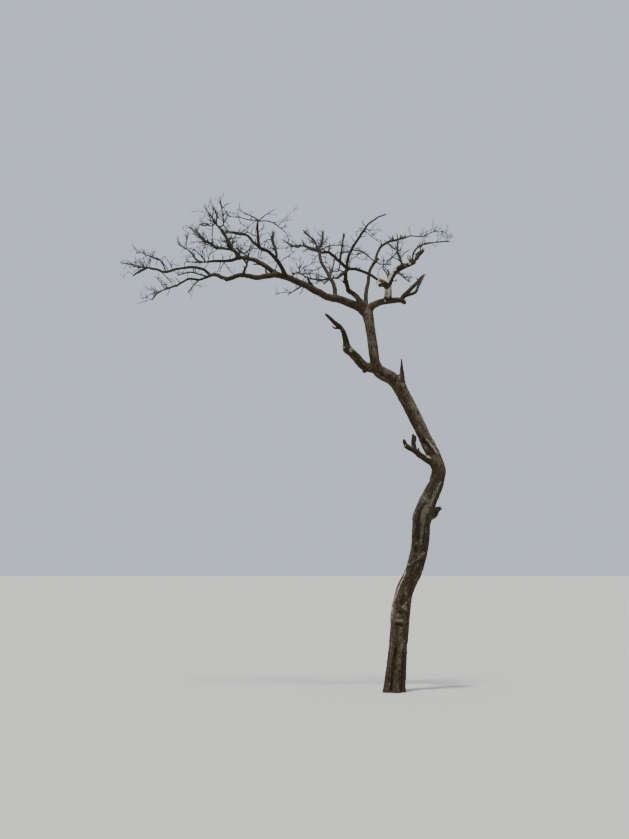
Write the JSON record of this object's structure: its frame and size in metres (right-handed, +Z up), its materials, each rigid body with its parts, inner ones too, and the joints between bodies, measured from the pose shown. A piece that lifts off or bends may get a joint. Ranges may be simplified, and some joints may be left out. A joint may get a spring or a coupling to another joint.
{
  "type": "acacia tree",
  "caption": "Tall bare savanna acacia with a winding trunk, a crown of crooked boughs and leafless twigs swept to one side, and snapped dead stubs.",
  "frame": {"origin": "middle of the flat cut under the trunk, at ground level", "axes": "+Z up along the trunk, -X the side that the crown is swept to, +Y away from the picture's camera"},
  "size_m": [7.3174, 3.5099, 10.4933],
  "materials": {
    "bark": "matte, rough flaking bark",
    "twigs": "matte, dark bare twigs"
  },
  "bodies": {
    "root": {"back_bough": "bark", "back_twigs": "twigs", "bridge_twigs": "twigs", "centre_bough": "bark", "centre_side_twigs": "twigs", "centre_top_bough": "bark", "centre_top_twigs": "twigs", "dead_limb_lower": "bark", "dead_limb_upper": "bark", "front_bough": "bark", "front_twigs": "twigs", "left_bough": "bark", "left_crown_bough": "bark", "left_crown_twigs": "twigs", "left_drop_twigs": "twigs", "left_fan_twigs": "twigs", "left_hook_twigs": "twigs", "left_lower_bough": "bark", "left_lower_twigs": "twigs", "left_side_twigs": "twigs", "left_stub": "bark", "left_stub_horn": "bark", "left_stub_spike": "bark", "left_tip_bough": "bark", "left_tip_twigs": "twigs", "left_upper_bough": "bark", "left_upper_twigs": "twigs", "middle_arc_twigs": "twigs", "middle_bough": "bark", "middle_left_bough": "bark", "middle_left_twigs": "twigs", "middle_low_twigs": "twigs", "middle_right_bough": "bark", "middle_spire": "twigs", "middle_top_bough": "bark", "middle_top_twigs": "twigs", "perch_bough": "bark", "perch_left_bough": "bark", "perch_left_twigs": "twigs", "perch_side_twigs": "twigs", "perch_stem": "bark", "perch_twigs": "twigs", "right_bough": "bark", "right_cross_twigs": "twigs", "right_low_bough": "bark", "right_low_fork": "bark", "right_pale_stub": "bark", "right_rise_twigs": "twigs", "right_side_twigs": "twigs", "right_stub": "bark", "right_top_stub": "bark", "right_top_twigs": "twigs", "right_upright_bough": "bark", "rising_bough": "bark", "rising_low_twigs": "twigs", "rising_top_bough": "bark", "rising_twigs": "twigs", "shoulder_spike": "bark", "trunk": "bark", "under_twigs": "twigs"}
  },
  "joints": []
}
